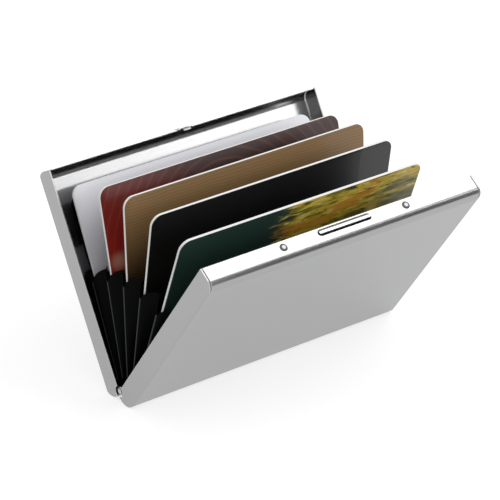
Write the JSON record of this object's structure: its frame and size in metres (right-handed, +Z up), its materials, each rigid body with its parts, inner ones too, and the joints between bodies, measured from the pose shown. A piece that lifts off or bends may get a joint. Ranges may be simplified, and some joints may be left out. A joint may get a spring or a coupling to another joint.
{
  "type": "card case",
  "caption": "Hinged steel case that opens like a book onto a folded plastic accordion of card pockets, with cards in them and a press latch.",
  "frame": {"origin": "middle of the hinge's length, under the hinge line, at the height of the surface the open case stands on", "axes": "+X along the hinge, +Y towards the rear shell with the catch, +Z up"},
  "size_m": [0.096, 0.0774, 0.0592],
  "materials": {
    "steel_sheet": "satin pressed stainless sheet",
    "spring_steel": "bright rolled spring strip",
    "polished_steel": "polished",
    "black_film": "smooth, soft sheen",
    "card_pearl": "laminated, soft gloss",
    "card_maroon": "laminated, soft gloss",
    "card_bronze": "laminated, soft gloss",
    "card_black": "laminated, soft gloss",
    "card_olive": "laminated, soft gloss"
  },
  "bodies": {
    "rear": {"rear_case": "steel_sheet", "hinge_pin": "polished_steel", "rear_liner": "black_film", "catch_hook": "spring_steel"},
    "front": {"front_case": "steel_sheet", "front_liner": "black_film", "latch_spring": "spring_steel", "latch_rivets": "polished_steel"},
    "latch": {"latch_bar": "polished_steel"},
    "divider_1": {"divider_1": "black_film"},
    "divider_2": {"divider_2": "black_film"},
    "divider_3": {"divider_3": "black_film"},
    "divider_4": {"divider_4": "black_film"},
    "divider_5": {"divider_5": "black_film"},
    "pocket_1": {"gusset_1": "black_film"},
    "pocket_2": {"gusset_2": "black_film"},
    "pocket_3": {"gusset_3": "black_film"},
    "pocket_4": {"gusset_4": "black_film"},
    "pocket_5": {"gusset_5": "black_film"},
    "pocket_6": {"gusset_6": "black_film"},
    "card_1": {"card_1": "card_pearl"},
    "card_2": {"card_2": "card_maroon"},
    "card_3": {"card_3": "card_bronze"},
    "card_4": {"card_4": "card_black"},
    "card_5": {"card_5": "card_olive"}
  },
  "joints": [
    {"name": "case_hinge", "type": "hinge", "parent": "rear", "child": "front", "pos_m": [0, 0, 0.0029], "axis": [1, 0, 0], "range_deg": [-64.2, 15.8], "deforming": ["gusset_1", "gusset_2", "gusset_3", "gusset_4", "gusset_5", "gusset_6"]},
    {"name": "latch_press", "type": "slide", "parent": "front", "child": "latch", "axis": [0, 0.5314, -0.8471], "range_m": [0, 0.0005], "stiffness_N_per_m": 3000, "springref_m": -0.0003, "deforming": ["latch_spring"]},
    {"name": "divider_1_turn", "type": "hinge", "parent": "rear", "child": "divider_1", "pos_m": [0, 0, 0.0029], "axis": [1, 0, 0], "range_deg": [-11.2, 3.13]},
    {"name": "divider_2_turn", "type": "hinge", "parent": "rear", "child": "divider_2", "pos_m": [0, 0, 0.0029], "axis": [1, 0, 0], "range_deg": [-21.9, 5.77]},
    {"name": "divider_3_turn", "type": "hinge", "parent": "rear", "child": "divider_3", "pos_m": [0, 0, 0.0029], "axis": [1, 0, 0], "range_deg": [-32.6, 8.4]},
    {"name": "divider_4_turn", "type": "hinge", "parent": "rear", "child": "divider_4", "pos_m": [0, 0, 0.0029], "axis": [1, 0, 0], "range_deg": [-43.3, 11.03]},
    {"name": "divider_5_turn", "type": "hinge", "parent": "rear", "child": "divider_5", "pos_m": [0, 0, 0.0029], "axis": [1, 0, 0], "range_deg": [-54, 13.67]},
    {"name": "pocket_1_turn", "type": "hinge", "parent": "rear", "child": "pocket_1", "pos_m": [0, 0, 0.0029], "axis": [1, 0, 0], "range_deg": [-4.85, 1.57]},
    {"name": "pocket_2_turn", "type": "hinge", "parent": "rear", "child": "pocket_2", "pos_m": [0, 0, 0.0029], "axis": [1, 0, 0], "range_deg": [-16.8, 4.51]},
    {"name": "pocket_3_turn", "type": "hinge", "parent": "rear", "child": "pocket_3", "pos_m": [0, 0, 0.0029], "axis": [1, 0, 0], "range_deg": [-26.75, 6.96]},
    {"name": "pocket_4_turn", "type": "hinge", "parent": "rear", "child": "pocket_4", "pos_m": [0, 0, 0.0029], "axis": [1, 0, 0], "range_deg": [-37.8, 9.68]},
    {"name": "pocket_5_turn", "type": "hinge", "parent": "rear", "child": "pocket_5", "pos_m": [0, 0, 0.0029], "axis": [1, 0, 0], "range_deg": [-49.25, 12.5]},
    {"name": "pocket_6_turn", "type": "hinge", "parent": "rear", "child": "pocket_6", "pos_m": [0, 0, 0.0029], "axis": [1, 0, 0], "range_deg": [-59.35, 14.98]},
    {"name": "card_1_lift", "type": "slide", "parent": "pocket_1", "child": "card_1", "axis": [0, 0.4656, 0.885], "range_m": [0, 0.0053]},
    {"name": "card_2_lift", "type": "slide", "parent": "pocket_2", "child": "card_2", "axis": [0, 0.2723, 0.9622], "range_m": [0, 0.056]},
    {"name": "card_3_lift", "type": "slide", "parent": "pocket_3", "child": "card_3", "axis": [0, 0.1019, 0.9948], "range_m": [0, 0.056]},
    {"name": "card_4_lift", "type": "slide", "parent": "pocket_4", "child": "card_4", "axis": [0, -0.0906, 0.9959], "range_m": [0, 0.056]},
    {"name": "card_5_lift", "type": "slide", "parent": "pocket_5", "child": "card_5", "axis": [0, -0.2865, 0.9581], "range_m": [0, 0.056]}
  ],
  "couplings": [
    {"joint": "divider_1_turn", "follows": "case_hinge", "ratio": 0.16667},
    {"joint": "divider_2_turn", "follows": "case_hinge", "ratio": 0.33333},
    {"joint": "divider_3_turn", "follows": "case_hinge", "ratio": 0.5},
    {"joint": "divider_4_turn", "follows": "case_hinge", "ratio": 0.66667},
    {"joint": "divider_5_turn", "follows": "case_hinge", "ratio": 0.83333},
    {"joint": "pocket_1_turn", "follows": "case_hinge", "ratio": 0.067757},
    {"joint": "pocket_2_turn", "follows": "case_hinge", "ratio": 0.25389},
    {"joint": "pocket_3_turn", "follows": "case_hinge", "ratio": 0.40888},
    {"joint": "pocket_4_turn", "follows": "case_hinge", "ratio": 0.581},
    {"joint": "pocket_5_turn", "follows": "case_hinge", "ratio": 0.75935},
    {"joint": "pocket_6_turn", "follows": "case_hinge", "ratio": 0.91667}
  ]
}
